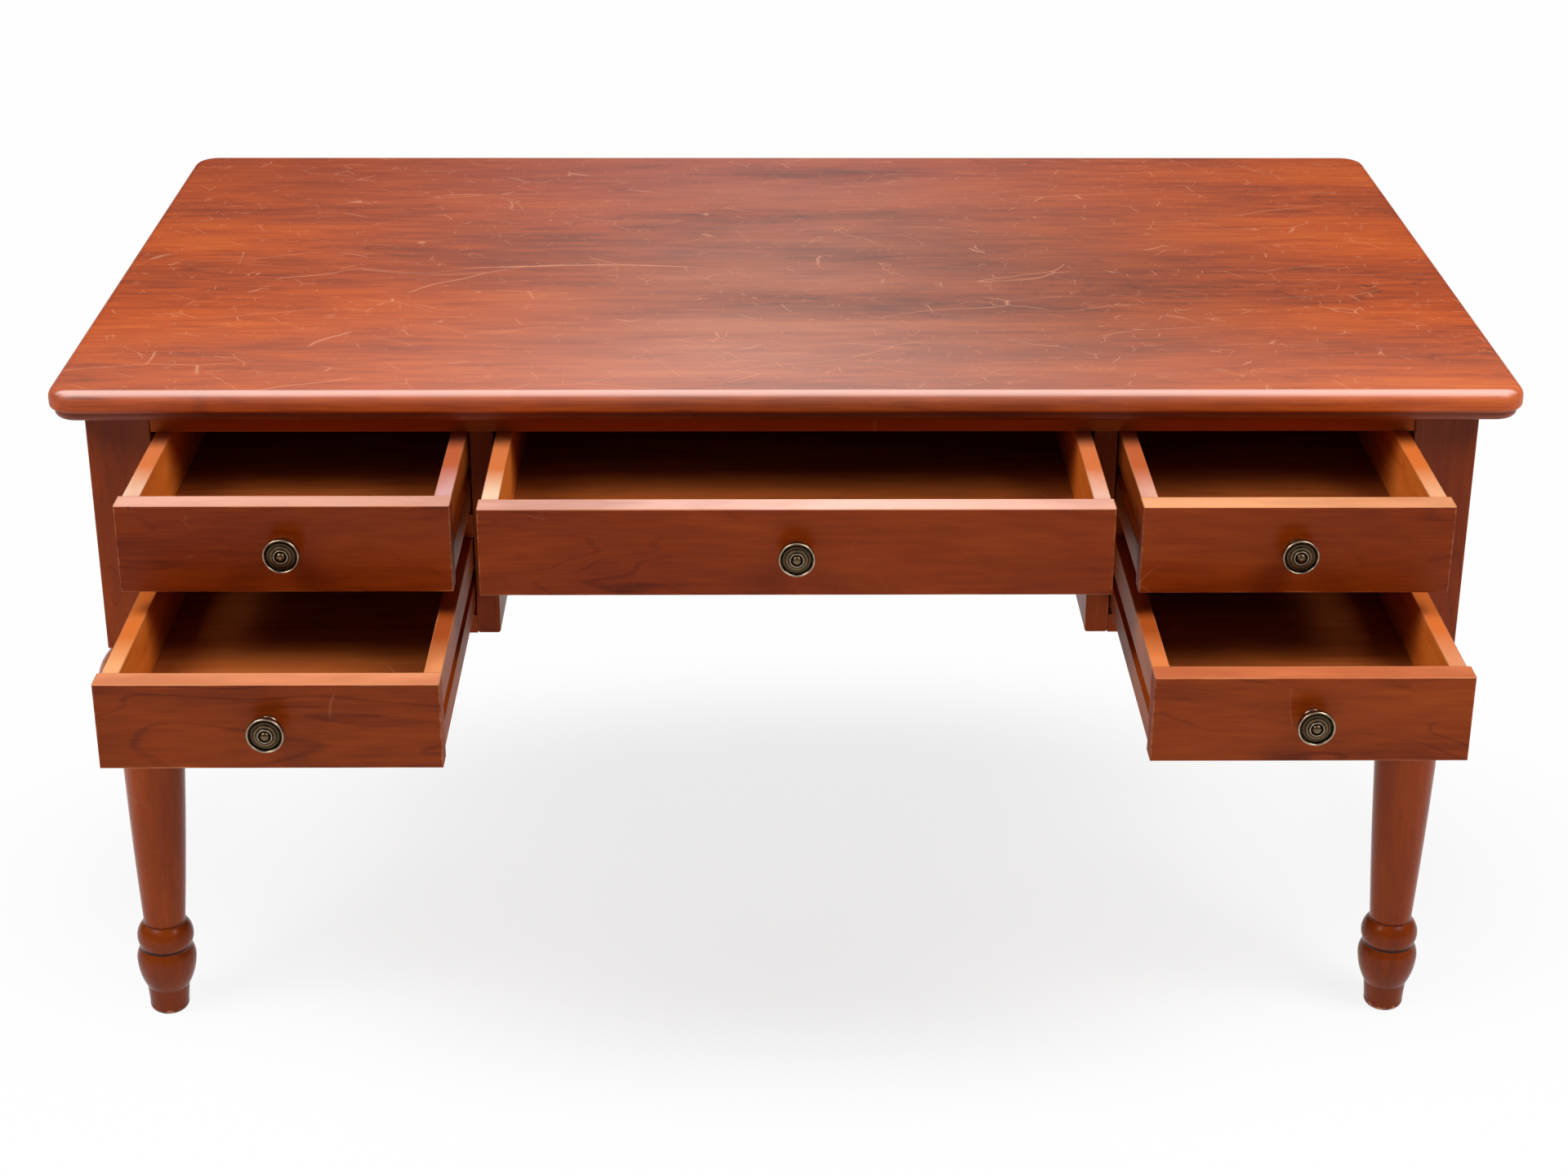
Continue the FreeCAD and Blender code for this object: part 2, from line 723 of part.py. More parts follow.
def make_drawers():
    upper = ("upper_floor", "upper_opening_height")
    lower = ("lower_floor", "lower_opening_height")
    outer, inner = "outer_side_inset", "inner_side_inset"
    make_drawer("upper_left", "left", *upper, "upper_left_open", outer, inner)
    make_drawer("lower_left", "left", *lower, "lower_left_open", outer, inner)
    make_drawer("centre", "centre", *upper, "centre_open", *["centre_side_inset"] * 2)
    make_drawer("upper_right", "right", *upper, "upper_right_open", inner, outer)
    make_drawer("lower_right", "right", *lower, "lower_right_open", inner, outer)


make_top()
make_legs()
make_partitions()
make_rails_and_panels()
make_glue_blocks()
make_drawers()
doc.recompute()

# Nothing is written unless every object is sound
for thing in doc.Objects:
    if "Invalid" in thing.State or "Error" in thing.State:
        raise RuntimeError(thing.Name + " failed: " + ", ".join(thing.State))
for node in nodes:
    if node.Shape.isNull() or not node.Shape.isValid() or not node.Shape.Solids:
        raise RuntimeError(node.Label + " has no sound solid")

os.makedirs("parts", exist_ok=True)
for node in nodes:
    node.Shape.exportStep("parts/%s.step" % node.Label)
print(len(nodes), "nodes written")
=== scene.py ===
import math
import bmesh
import bpy
from mathutils import Matrix, Vector
from types import SimpleNamespace


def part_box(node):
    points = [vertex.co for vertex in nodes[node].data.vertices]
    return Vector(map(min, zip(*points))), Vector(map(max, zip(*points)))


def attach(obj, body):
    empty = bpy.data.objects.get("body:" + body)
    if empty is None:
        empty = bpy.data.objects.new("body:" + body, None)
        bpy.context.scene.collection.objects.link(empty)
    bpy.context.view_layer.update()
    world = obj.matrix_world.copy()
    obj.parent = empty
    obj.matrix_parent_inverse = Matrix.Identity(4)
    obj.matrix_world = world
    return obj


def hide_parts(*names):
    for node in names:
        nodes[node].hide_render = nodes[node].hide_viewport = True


# Kneehole writing desk in red-brown stained cherry, on turned legs, with five
# drawers standing open. Metres, X to the right, Y to the back, Z up.
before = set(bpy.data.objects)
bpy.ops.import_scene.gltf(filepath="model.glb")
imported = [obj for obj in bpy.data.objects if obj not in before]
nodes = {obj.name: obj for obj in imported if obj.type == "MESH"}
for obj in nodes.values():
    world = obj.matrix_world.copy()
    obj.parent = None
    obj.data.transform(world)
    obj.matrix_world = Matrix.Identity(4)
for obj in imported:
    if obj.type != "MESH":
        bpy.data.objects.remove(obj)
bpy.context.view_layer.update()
scene = bpy.context.scene
scene.view_settings.view_transform = "Standard"


# --- Camera -------------------------------------------------------------------
# Where the photographer stood: in front of the desk, a little left of its
# middle, at eye height, looking down by 24 degrees with a lens of about 65 mm.
CAMERA_PLACE = Vector((-0.0342, -2.94725, 1.7426))
CAMERA_PITCH = math.radians(24.07)
CAMERA_YAW = math.radians(0.66)
CAMERA_ROLL = math.radians(0.19)
FOCAL_LENGTH = 65.4

camera = bpy.data.objects.new("camera", bpy.data.cameras.new("camera"))
scene.collection.objects.link(camera)
scene.camera = camera
camera.data.sensor_width = 36
camera.data.sensor_fit = "HORIZONTAL"
camera.data.lens = FOCAL_LENGTH
camera.data.clip_end = 60
ahead = Vector((math.sin(CAMERA_YAW) * math.cos(CAMERA_PITCH),
                math.cos(CAMERA_YAW) * math.cos(CAMERA_PITCH),
                -math.sin(CAMERA_PITCH)))
level = Vector((math.cos(CAMERA_YAW), -math.sin(CAMERA_YAW), 0))
upright = level.cross(ahead)
across = math.cos(CAMERA_ROLL) * level + math.sin(CAMERA_ROLL) * upright
upward = math.cos(CAMERA_ROLL) * upright - math.sin(CAMERA_ROLL) * level
camera.matrix_world = Matrix.Translation(CAMERA_PLACE) @ Matrix(
    (across, upward, -ahead)).transposed().to_4x4()


# --- Studio: floor and lights -------------------------------------------------
# A seamless pale paper floor under large soft lamps. It shows white to the camera
# and in the brass, and keeps the desk's soft shadow, an ellipse twice as wide as
# deep that fades out round a point below the desk.
FLOOR_SIZE = 24
FLOOR_WHITE = "#F4F3F2"
FLOOR_OWN_LIGHT = 0.78
FAR_OWN_LIGHT = 0.985
SHADOW_MIDDLE = (0.05, 0.12)
SHADOW_CORE = 0.55
SHADOW_END = 1.25
SHADOW_FLATNESS = 2
ROOM_LIGHT = 0.15


# A colour as it is written for the screen, made into what the shader takes
def linear(text):
    parts = [int(text[i:i + 2], 16) / 255 for i in (1, 3, 5)]
    return [c / 12.92 if c <= 0.04045 else ((c + 0.055) / 1.055) ** 2.4
            for c in parts] + [1]


# Add one shader node: its inputs are numbers, colours or the sockets that feed
# them, a ramp's stops are (place, colour), and the rest are its own settings.
def add(tree, kind, inputs=None, stops=None, **settings):
    made = tree.nodes.new(kind)
    for setting, value in settings.items():
        setattr(made, setting, value)
    for name, value in (inputs or {}).items():
        socket = made.inputs[name]
        if isinstance(value, bpy.types.NodeSocket):
            tree.links.new(value, socket)
        else:
            socket.default_value = value
    for i, (place, colour) in enumerate(stops or []):
        band = made.color_ramp.elements
        stop = band[i] if i < 2 else band.new(place)
        stop.position = place
        stop.color = colour
    return made


# A new material with an empty tree, and its output node
def blank_material(name):
    material = bpy.data.materials.new(name)
    material.use_nodes = True
    material.node_tree.nodes.clear()
    output = add(material.node_tree, "ShaderNodeOutputMaterial")
    return material, material.node_tree, output


paper, tree, output = blank_material("seamless_white_paper")
rays = add(tree, "ShaderNodeLightPath").outputs
seen = add(tree, "ShaderNodeMath", {0: rays["Is Camera Ray"], 1: rays["Is Glossy Ray"]},
           operation="MAXIMUM").outputs[0]
where = add(tree, "ShaderNodeTexCoord").outputs["Object"]
middle_x, middle_y = SHADOW_MIDDLE
offset = add(tree, "ShaderNodeVectorMath",
             {0: where, 1: (1, SHADOW_FLATNESS, 0),
              2: (-middle_x, -SHADOW_FLATNESS * middle_y, 0)},
             operation="MULTIPLY_ADD")
away = add(tree, "ShaderNodeVectorMath", {0: offset.outputs[0]}, operation="LENGTH")
own_light = add(tree, "ShaderNodeMapRange",
                {0: away.outputs["Value"], 1: SHADOW_CORE, 2: SHADOW_END,
                 3: FLOOR_OWN_LIGHT, 4: FAR_OWN_LIGHT}, interpolation_type="SMOOTHSTEP")
share = add(tree, "ShaderNodeMath", {0: seen, 1: own_light.outputs[0]},
            operation="MULTIPLY")
matt = add(tree, "ShaderNodeBsdfDiffuse", {"Color": linear(FLOOR_WHITE)})
glow = add(tree, "ShaderNodeEmission", {"Color": [1, 1, 1, 1], "Strength": 1})
mixed = add(tree, "ShaderNodeMixShader", {0: share.outputs[0], 1: matt.outputs[0],
                                          2: glow.outputs[0]})
tree.links.new(mixed.outputs[0], output.inputs[0])

half = FLOOR_SIZE / 2
floor_mesh = bpy.data.meshes.new("floor")
floor_mesh.from_pydata([(-half, -half, 0), (half, -half, 0), (half, half, 0),
                        (-half, half, 0)], [], [(0, 1, 2, 3)])
floor = bpy.data.objects.new("floor", floor_mesh)
floor_mesh.materials.append(paper)
scene.collection.objects.link(floor)

# The room round the floor: white where the camera sees it, and only a dim light
world = bpy.data.worlds.new("studio")
scene.world = world
world.use_nodes = True
world.node_tree.nodes.clear()
world_light_path = add(world.node_tree, "ShaderNodeLightPath")
room_share = add(world.node_tree, "ShaderNodeMix",
                 {0: world_light_path.outputs["Is Camera Ray"], 2: ROOM_LIGHT, 3: 1},
                 data_type="FLOAT")
room = add(world.node_tree, "ShaderNodeBackground",
           {"Color": [1, 1, 1, 1], "Strength": room_share.outputs[0]})
add(world.node_tree, "ShaderNodeOutputWorld", {0: room.outputs[0]})

# Each lamp: where it stands, where it points, its width and height, its power
LAMPS = {
    "left_softbox": ((-2.0, -1.15, 2.8), (0, 0, 0.5), (1.5, 1.5), 67),
    "right_softbox": ((2.0, -1.15, 2.8), (0, 0, 0.5), (1.5, 1.5), 74),
    "overhead_strip": ((0, -0.45, 3.2), (0, -0.3, 0.5), (2.6, 0.3), 9),
    "back_softbox": ((0, 3.2, 3.1), (0, 0, 0.7), (0.9, 1.5), 30),
}
for name, (place, target, (wide, tall), power) in LAMPS.items():
    lamp = bpy.data.objects.new(name, bpy.data.lights.new(name, "AREA"))
    lamp.data.shape = "RECTANGLE"
    lamp.data.size = wide
    lamp.data.size_y = tall
    lamp.data.energy = power
    lamp.location = place
    aim = Vector(target) - Vector(place)
    lamp.rotation_euler = aim.to_track_quat("-Z", "Y").to_euler()
    scene.collection.objects.link(lamp)


# --- Desk top -----------------------------------------------------------------
# Cherry boards glued side by side, stained red-brown under a satin lacquer.
# Years of use left fine curved scratches and small dents. Its front edge is paler, with
# a painted highlight along its rounding and a painted pool of light on the front part.
TOP_STAIN = ("#742A08", "#A03E08", "#B84C0A", "#CC6214")
SCRATCH_COLOUR = "#E3A27C"
WORN_COLOUR = "#C98457"
# Pale worn edges of the top, which also carry a painted highlight
WORN_EDGE_AND_HIGHLIGHT = "#EFC2B6"
# Dark dents, and dirt with painted shade in corners and grooves
DIRT_AND_SHADE_COLOUR = "#2A0D05"

# The wood's own sizes in metres, and how many times as long as wide each of its
# patterns is. The growth rings are the crests of a wave that runs through this many
# radians from the darkest to the palest of the figure. A stain's four colours sit
# at these places on the scale from dark to pale.
FIBRE_WIDTH = 0.002
BLOTCH_SIZE = 0.09
BAND_LENGTH = 6
STREAK_LENGTH = 8
FIBRE_LENGTH = 34
BLOTCH_LENGTH = 3.5
RING_RADIANS = 90
STAIN_PLACES = (0.28, 0.45, 0.58, 0.78)
END_GRAIN_DEPTH = 0.0012
RELIEF = 0.0004
LACQUER_IOR = 1.5

# The marks of use, in metres: how far apart dents lie and where a dent's rim starts and
# ends as shares of that, how deep an upper edge is rubbed bare and how far from its
# front end, how coarse a toe is chipped, how far the streaks fray a worn edge, how deep
# below the top's face its scratches and its painted highlight line reach, how far from
# its front that line lies, and how thin a stain on one side of a board is
DENT_SPACING = 0.07
DENT_RIM = (0.012, 0.026)
BARE_DEPTH = 0.0012
BARE_LENGTH = 0.015
CHIP_SIZE = 0.008
FRAY_DEPTH = 0.004
SCRATCHED_DEPTH = (0.003, 0.0005)
HIGHLIGHT_DEPTH = (0.0045, 0.0015)
HIGHLIGHT_FROM_FRONT = (0.0095, 0.0125)
STAIN_DEPTH = 0.0008

# Layers of scratches: their spacing and width in metres, the share of the noise
# above which they are kept (the higher, the fewer) and the layer's turn in radians
FEW_SCRATCHES = ((0.06, 0.0005, 0.64, 0.6),)
TOP_SCRATCHES = ((0.07, 0.0008, 0.56, 0.2), (0.04, 0.0006, 0.57, -0.6),
                 (0.02, 0.0005, 0.6, 1.1))

# One long scratch, bowed to the back: where its middle lies in X and in Y, half
# its length, and how much nearer to the front its ends lie than its middle
LONG_SCRATCH = (-0.222, 0.145, 0.145, 0.012)
LONG_SCRATCH_WIDTH = 0.0024

# Large soft patches of painted light and shade on the top: the middle is painted darker
# and greyer, the back a little darker as painted shade, and the front part paler as a
# painted pool of light. Each has its centre, its half size in metres, its colour, how
# it mixes and how strongly.
TOP_PAINTED_LIGHT_PATCHES = (((0.12, 0.03, 0.762), (0.62, 0.6, 1), "#D2DEEA", "MULTIPLY", 1),
               ((-0.2, 0.62, 0.762), (0.95, 0.45, 1), "#E0CCBC", "MULTIPLY", 1),
               ((0, -0.3, 0.762), (1.5, 0.36, 0.018), "#D8A08C", "MIX", 0.15))

# Painted shade in the corner under the rounded front edge: its height, reach and
# strength
TOP_UNDER_EDGE_SHADE = ((0.735, 0.011, 0.45),)


# Where a point lies in the piece, pressed together along the grain so that a
# round pattern is drawn out into streaks that many times as long as wide
def along_grain(tree, where, grain, length):
    squeeze = [1 / length if axis == grain else 1 for axis in "XYZ"]
    return add(tree, "ShaderNodeVectorMath", {0: where, 1: squeeze},
               operation="MULTIPLY").outputs[0]


# Lay a colour over another one by a mask
def lay_over(tree, under, over, mask, blend="MIX"):
    return add(tree, "ShaderNodeMix", {0: mask, 6: under, 7: over},
               data_type="RGBA", blend_type=blend).outputs[2]


# The stained wood by itself: broad soft bands and narrow streaks along the grain,
# fine fibres, an uneven stain and faint growth rings where the stain is uneven.
# Cherry's fibres are finer than the render can show, so they are drawn 2 mm wide.
def wood_figure(piece, grain, stain, figure, bands, rings, fibres, streaks,
                streak_width):
    tree = piece.tree
    broad = add(tree, "ShaderNodeTexNoise",
                {"Vector": along_grain(tree, piece.where, grain, BAND_LENGTH),
                 "Scale": 1 / figure, "Detail": 2, "Roughness": 0.5,
                 "Distortion": 0.3}).outputs[0]
    piece.streak = add(tree, "ShaderNodeTexNoise",
                       {"Vector": along_grain(tree, piece.where, grain, STREAK_LENGTH),
                        "Scale": 1 / streak_width, "Detail": 5,
                        "Roughness": 0.62}).outputs[0]
    piece.fibre = add(tree, "ShaderNodeTexNoise",
                      {"Vector": along_grain(tree, piece.where, grain, FIBRE_LENGTH),
                       "Scale": 1 / FIBRE_WIDTH, "Detail": 2,
                       "Roughness": 0.6}).outputs[0]
    piece.blotch = add(tree, "ShaderNodeTexNoise",
                       {"Vector": along_grain(tree, piece.where, grain, BLOTCH_LENGTH),
                        "Scale": 1 / BLOTCH_SIZE, "Detail": 4,
                        "Roughness": 0.55}).outputs[0]
    turns = add(tree, "ShaderNodeMath", {0: broad, 1: RING_RADIANS},
                operation="MULTIPLY")
    wave = add(tree, "ShaderNodeMath", {0: turns.outputs[0]}, operation="SINE")
    ring = add(tree, "ShaderNodeMapRange", {0: wave.outputs[0], 1: 0.88, 2: 1,
                                            3: 0, 4: -1})
    tone = add(tree, "ShaderNodeMath", {0: broad, 1: bands, 2: 0.52 - bands / 2},
               operation="MULTIPLY_ADD").outputs[0]
    for source, weight in ((piece.streak, streaks), (piece.fibre, fibres),
                           (piece.blotch, -0.4)):
        centred = add(tree, "ShaderNodeMath", {0: source, 1: 0.5}, operation="SUBTRACT")
        tone = add(tree, "ShaderNodeMath", {0: centred.outputs[0], 1: weight, 2: tone},
                   operation="MULTIPLY_ADD").outputs[0]
    faint = add(tree, "ShaderNodeMapRange", {0: piece.blotch, 1: 0.4, 2: 0.6,
                                             3: 0, 4: rings})
    tone = add(tree, "ShaderNodeMath", {0: ring.outputs[0], 1: faint.outputs[0],
                                        2: tone}, operation="MULTIPLY_ADD")
    return add(tree, "ShaderNodeValToRGB", {0: tone.outputs[0]},
               list(zip(STAIN_PLACES, stain))).outputs[0]


# The upper face of a drawer's board, which hands have rubbed down to the bare wood, in
# a pale colour that also holds a painted sheen. The stain still shows in patches, and
# more of it away from the front, where the painted sheen fades out too.
def rubbed_and_lit_top(piece, colour, middle, top_face, bare_and_sheen_colour, wear_and_sheen_fade):
    tree, low, high = piece.tree, piece.low, piece.high
    bare_and_lit = add(tree, "ShaderNodeMapRange",
               {0: piece.z, 1: high.z - BARE_DEPTH, 2: high.z - BARE_DEPTH / 3,
                3: 0, 4: top_face})
    thin = add(tree, "ShaderNodeMapRange", {0: piece.blotch, 1: 0.42, 2: 0.62,
                                            3: 0, 4: 0.45})
    bare_and_sheen = lay_over(tree, linear(bare_and_sheen_colour), middle, thin.outputs[0])
    if wear_and_sheen_fade:
        reach = add(tree, "ShaderNodeMapRange",
                    {0: piece.y, 1: low.y + BARE_LENGTH, 2: low.y + wear_and_sheen_fade,
                     3: 0, 4: 0.9})
        bare_and_sheen = lay_over(tree, bare_and_sheen, middle, reach.outputs[0])
    return lay_over(tree, colour, bare_and_sheen, bare_and_lit.outputs[0])


# A large soft patch of another colour: painted light and shade on the top
def paint_light_patch(piece, colour, centre, half_size, tint, blend, strength):
    tree = piece.tree
    from_centre = add(tree, "ShaderNodeMapping",
                      {"Vector": piece.where, "Location": centre, "Scale": half_size},
                      vector_type="TEXTURE")
    reach = add(tree, "ShaderNodeVectorMath", {0: from_centre.outputs[0]},
                operation="LENGTH")
    inside = add(tree, "ShaderNodeMapRange",
                 {0: reach.outputs["Value"], 1: 0.2, 2: 1, 3: strength, 4: 0},
                 interpolation_type="SMOOTHSTEP")
    return lay_over(tree, colour, linear(tint), inside.outputs[0], blend)


# Fine curved scratches: the thin borders between long cells of warped wood, kept
# only in short stretches by a noise
def scratch_lines(piece, spacing, width, kept, turn):
    tree = piece.tree
    turned = add(tree, "ShaderNodeMapping",
                 {"Vector": piece.where, "Location": [turn * 7, turn * 5, turn * 3],
                  "Rotation": [0, turn, turn], "Scale": [5, 1, 1]},
                 vector_type="TEXTURE")
    bend = add(tree, "ShaderNodeTexNoise",
               {"Vector": piece.where, "Scale": 0.4 / spacing, "Detail": 1})
    warped = add(tree, "ShaderNodeVectorMath",
                 {0: bend.outputs["Color"], 1: [spacing * 0.8] * 3,
                  2: turned.outputs[0]}, operation="MULTIPLY_ADD")
    border = add(tree, "ShaderNodeTexVoronoi",
                 {"Vector": warped.outputs[0], "Scale": 1 / spacing},
                 feature="DISTANCE_TO_EDGE")
    line = add(tree, "ShaderNodeMapRange", {0: border.outputs["Distance"], 1: 0,
                                            2: width / spacing, 3: 1, 4: 0})
    stretch = add(tree, "ShaderNodeTexNoise",
                  {"Vector": warped.outputs[0], "Scale": 1.3 / spacing, "Detail": 1})
    mask = add(tree, "ShaderNodeMapRange",
               {0: stretch.outputs[0], 1: kept, 2: kept + 0.07, 3: 0, 4: 1})
    return add(tree, "ShaderNodeMath", {0: line.outputs[0], 1: mask.outputs[0]},
               operation="MULTIPLY").outputs[0]


# One long bowed scratch that thins out towards its ends
def long_line(piece, middle_x, middle_y, half_length, bow):
    tree = piece.tree
    off_x = add(tree, "ShaderNodeMath", {0: piece.x, 1: middle_x},
                operation="SUBTRACT")
    squared = add(tree, "ShaderNodeMath", {0: off_x.outputs[0], 1: 2},
                  operation="POWER")
    wavy = add(tree, "ShaderNodeMath", {0: piece.blotch, 1: 0.03,
                                        2: -middle_y - 0.015},
               operation="MULTIPLY_ADD")
    curve = add(tree, "ShaderNodeMath", {0: squared.outputs[0],
                                         1: bow / half_length ** 2,
                                         2: wavy.outputs[0]},
                operation="MULTIPLY_ADD")
    off_curve = add(tree, "ShaderNodeMath", {0: piece.y, 1: curve.outputs[0]})
    deep = add(tree, "ShaderNodeMath",
               {0: off_curve.outputs[0], 1: 0, 2: LONG_SCRATCH_WIDTH / 2},
               operation="COMPARE")
    ends = add(tree, "ShaderNodeMapRange", {0: squared.outputs[0],
                                            1: 0.3 * half_length ** 2,
                                            2: half_length ** 2, 3: 0.75, 4: 0})
    return add(tree, "ShaderNodeMath", {0: deep.outputs[0], 1: ends.outputs[0]},
               operation="MULTIPLY").outputs[0]


# Pale chips along the ragged lower rim of a foot
def chipped_toe(piece, colour, reach):
    tree = piece.tree
    ragged = add(tree, "ShaderNodeTexNoise", {"Vector": piece.where,
                                              "Scale": 1 / CHIP_SIZE, "Detail": 3})
    lowered = add(tree, "ShaderNodeMath", {0: ragged.outputs[0], 1: -reach * 2,
                                           2: piece.z}, operation="MULTIPLY_ADD")
    chip = add(tree, "ShaderNodeMapRange", {0: lowered.outputs[0], 1: -reach,
                                            2: -reach * 0.85, 3: 0.8, 4: 0})
    return lay_over(tree, colour, linear(WORN_COLOUR), chip.outputs[0])


# How far a point of a squared piece lies from the nearest of its edges, in metres
def edge_distance(piece, low):
    tree = piece.tree
    from_low = add(tree, "ShaderNodeVectorMath", {0: piece.where, 1: low},
                   operation="SUBTRACT")
    from_high = add(tree, "ShaderNodeVectorMath", {0: piece.high, 1: piece.where},
                    operation="SUBTRACT")
    inside = add(tree, "ShaderNodeVectorMath", {0: from_low.outputs[0],
                                                1: from_high.outputs[0]},
                 operation="MINIMUM")
    x, y, z = add(tree, "ShaderNodeSeparateXYZ", {0: inside.outputs[0]}).outputs
    nearer = add(tree, "ShaderNodeMath", {0: x, 1: y}, operation="MINIMUM")
    farther = add(tree, "ShaderNodeMath", {0: x, 1: y}, operation="MAXIMUM")
    with_z = add(tree, "ShaderNodeMath", {0: farther.outputs[0], 1: z},
                 operation="MINIMUM")
    return add(tree, "ShaderNodeMath", {0: nearer.outputs[0], 1: with_z.outputs[0]},
               operation="MAXIMUM").outputs[0]


# The line along the front of the top where its rounding turns over, painted pale as a
# highlight.
def painted_highlight_line(piece, colour, highlight_colour, strength):
    tree = piece.tree
    start, end = HIGHLIGHT_FROM_FRONT
    turning = add(tree, "ShaderNodeMapRange", {0: piece.y, 1: piece.low.y + start,
                                               2: piece.low.y + end, 3: 1, 4: 0})
    deep, shallow = HIGHLIGHT_DEPTH
    upper = add(tree, "ShaderNodeMapRange", {0: piece.z, 1: piece.high.z - deep,
                                             2: piece.high.z - shallow, 3: 0,
                                             4: strength})
    line = add(tree, "ShaderNodeMath", {0: turning.outputs[0], 1: upper.outputs[0]},
               operation="MULTIPLY")
    return lay_over(tree, colour, linear(highlight_colour), line.outputs[0])


# A mask of a board's two ends across the grain, where the stain soaks in darker
# and the lacquer turns matt
def end_grain(piece, grain):
    tree = piece.tree
    along, start, end = {"X": (piece.x, piece.low.x, piece.high.x),
                         "Y": (piece.y, piece.low.y, piece.high.y),
                         "Z": (piece.z, piece.low.z, piece.high.z)}[grain]
    off_middle = add(tree, "ShaderNodeMath", {0: along, 1: (start + end) / 2},
                     operation="SUBTRACT")
    off_middle = add(tree, "ShaderNodeMath", {0: off_middle.outputs[0]},
                     operation="ABSOLUTE")
    return add(tree, "ShaderNodeMapRange",
               {0: off_middle.outputs[0], 1: (end - start) / 2 - END_GRAIN_DEPTH,
                2: (end - start) / 2 - END_GRAIN_DEPTH / 2, 3: 0, 4: 1}).outputs[0]


# Wood with its stain, its lacquer and its wear. What it gives the eye: a warm streaky
# brown with a satin gloss, paler along the edges, darker in the corners and grooves
# with dirt and painted shade. Every piece gets the first ten or so; top_face bares a
# drawer board's upper edge and paints a sheen on it, outer_side darkens its outer face,
# and the rest are marks of the top and the legs, with their painted shade, painted
# highlight and patches of painted light.
def wood_finish(name, grain, stain, node, figure=0.11, bands=0.4, rings=0.07,
                fibres=0.2, streaks=0.2, streak_width=0.012, scratches=0.3,
                scratch_layers=FEW_SCRATCHES, edge_wear=0.5, edge_width=0.0016,
                edge_colour=WORN_COLOUR, roughness=0.4, gleam=0.1, top_face=0,
                bare_and_sheen_colour="#FFFFFF", wear_and_sheen_fade=0, outer_side=0, outer_shade="#FFFFFF",
                dirt_and_shade_lines=(), chipped_below=0, upper_edges_only=False,
                front_highlight=0, long_scratch=None, painted_light_patches=()):
    material, tree, output = blank_material(name)
    where = add(tree, "ShaderNodeTexCoord").outputs["Object"]
    x, y, z = add(tree, "ShaderNodeSeparateXYZ", {0: where}).outputs
    low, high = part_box(node)
    piece = SimpleNamespace(tree=tree, where=where, x=x, y=y, z=z, low=low, high=high)
    stain = [linear(text) for text in stain]
    colour = wood_figure(piece, grain, stain, figure, bands, rings, fibres, streaks,
                         streak_width)

    if top_face:
        colour = rubbed_and_lit_top(piece, colour, stain[1], top_face, bare_and_sheen_colour, wear_and_sheen_fade)
    if outer_side:
        outer = add(tree, "ShaderNodeMath",
                    {0: x, 1: high.x if outer_side > 0 else low.x, 2: STAIN_DEPTH},
                    operation="COMPARE")
        colour = lay_over(tree, colour, linear(outer_shade), outer.outputs[0],
                          "MULTIPLY")
    for painted_patch in painted_light_patches:
        colour = paint_light_patch(piece, colour, *painted_patch)

    marks = 0
    for layer in scratch_layers:
        marks = add(tree, "ShaderNodeMath", {0: scratch_lines(piece, *layer), 1: marks},
                    operation="MAXIMUM").outputs[0]
    shown = scratches
    if upper_edges_only:
        deep, shallow = SCRATCHED_DEPTH
        shown = add(tree, "ShaderNodeMapRange",
                    {0: z, 1: high.z - deep, 2: high.z - shallow, 3: 0,
                     4: scratches}).outputs[0]
    marks = add(tree, "ShaderNodeMath", {0: marks, 1: shown},
                operation="MULTIPLY").outputs[0]
    if long_scratch:
        marks = add(tree, "ShaderNodeMath",
                    {0: marks, 1: long_line(piece, *long_scratch)},
                    operation="MAXIMUM").outputs[0]
    colour = lay_over(tree, colour, linear(SCRATCH_COLOUR), marks)

    # Dark lines and bands at given heights: dirt with painted shade in grooves and
    # corners, and painted shade under the top's front edge
    for height, reach, strength in dirt_and_shade_lines:
        near = add(tree, "ShaderNodeMath", {0: z, 1: height, 2: reach / 2},
                   operation="COMPARE")
        dirt_and_shade_mask = add(tree, "ShaderNodeMath", {0: near.outputs[0], 1: strength},
                    operation="MULTIPLY")
        colour = lay_over(tree, colour, linear(DIRT_AND_SHADE_COLOUR), dirt_and_shade_mask.outputs[0])
    if chipped_below:
        colour = chipped_toe(piece, colour, chipped_below)
    pit = add(tree, "ShaderNodeTexVoronoi",
              {"Vector": where, "Scale": 1 / DENT_SPACING})
    dent = add(tree, "ShaderNodeMapRange",
               {0: pit.outputs["Distance"], 1: DENT_RIM[0], 2: DENT_RIM[1], 3: 0.6,
                4: 0}).outputs[0]
    colour = lay_over(tree, colour, linear(DIRT_AND_SHADE_COLOUR), dent)

    edge = edge_distance(piece, low - Vector((0, 0, 1)) if upper_edges_only else low)
    frayed = add(tree, "ShaderNodeMath", {0: piece.streak, 1: -FRAY_DEPTH, 2: edge},
                 operation="MULTIPLY_ADD")
    reached = -0.55 * FRAY_DEPTH
    rubbed = add(tree, "ShaderNodeMapRange",
                 {0: frayed.outputs[0], 1: reached, 2: reached + edge_width,
                  3: edge_wear, 4: 0}).outputs[0]
    colour = lay_over(tree, colour, linear(edge_colour), rubbed)
    if front_highlight:
        colour = painted_highlight_line(piece, colour, edge_colour, front_highlight)

